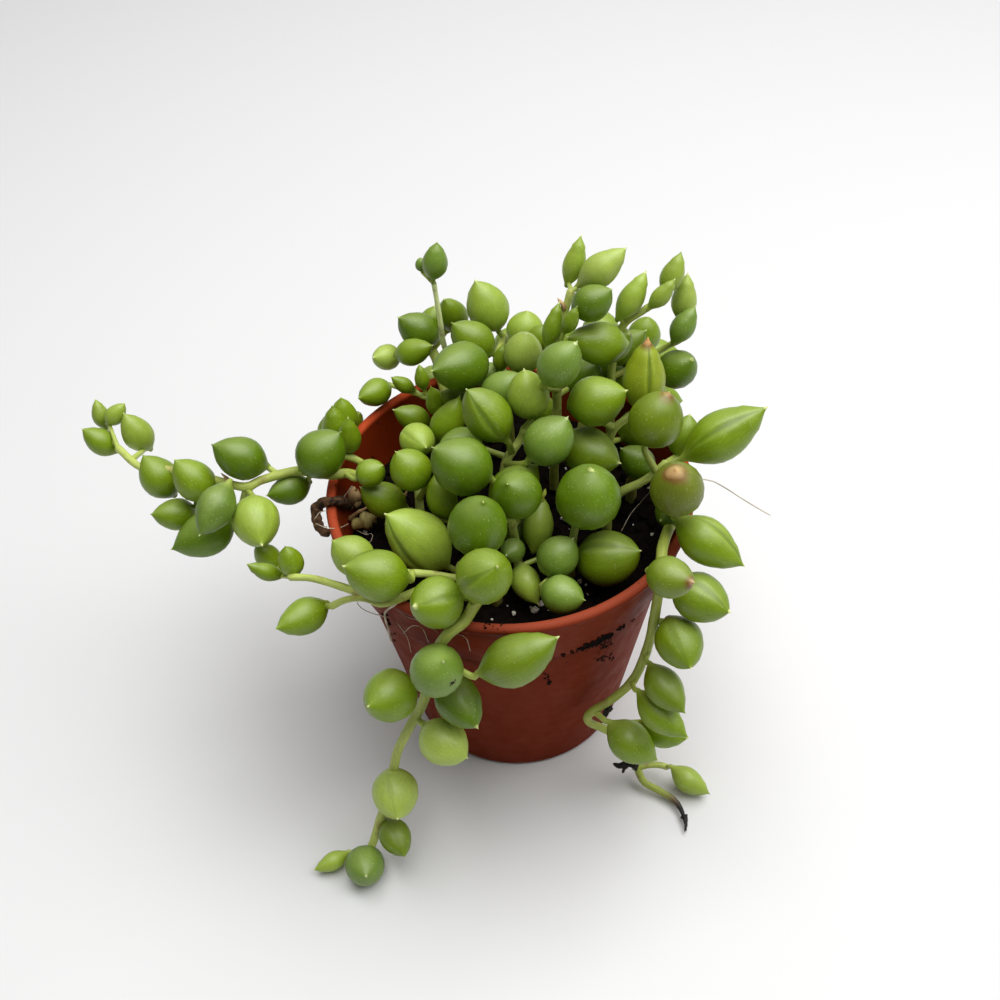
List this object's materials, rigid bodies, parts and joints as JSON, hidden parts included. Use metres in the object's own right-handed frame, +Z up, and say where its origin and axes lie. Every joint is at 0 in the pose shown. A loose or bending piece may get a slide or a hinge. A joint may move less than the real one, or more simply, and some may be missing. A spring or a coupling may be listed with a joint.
{
  "type": "potted string of watermelons",
  "caption": "Small terracotta-red nursery pot filled with soil, crowded with upright and trailing succulent stems that carry plump, pointed, round green leaves.",
  "frame": {"origin": "middle of the pot's underside, on the surface that it stands on", "axes": "+Z up along the pot's axis, -Y towards the viewer, +X to the viewer's right, which is the way the plant reaches furthest across"},
  "size_m": [0.1016, 0.0812, 0.0832],
  "materials": {
    "pot": "satin",
    "soil": "matte",
    "leafy_stems": "waxy, semi-gloss"
  },
  "bodies": {
    "root": {"pot": "pot", "soil": "soil", "front_trailing_stem": "leafy_stems", "right_trailing_stem": "leafy_stems", "left_trailing_stem": "leafy_stems", "left_low_stem": "leafy_stems", "left_front_stem": "leafy_stems", "left_rim_stem": "leafy_stems", "crown_left_stem": "leafy_stems", "crown_front_stem": "leafy_stems", "crown_front_right_stem": "leafy_stems", "crown_middle_stem": "leafy_stems", "crown_back_left_stem": "leafy_stems", "back_rim_stem": "leafy_stems", "budding_stalk": "leafy_stems", "crown_back_stem": "leafy_stems", "tall_middle_stem": "leafy_stems", "tall_right_stem": "leafy_stems", "crown_right_stem": "leafy_stems", "right_rim_stem": "leafy_stems", "back_right_stem": "leafy_stems"}
  },
  "joints": []
}
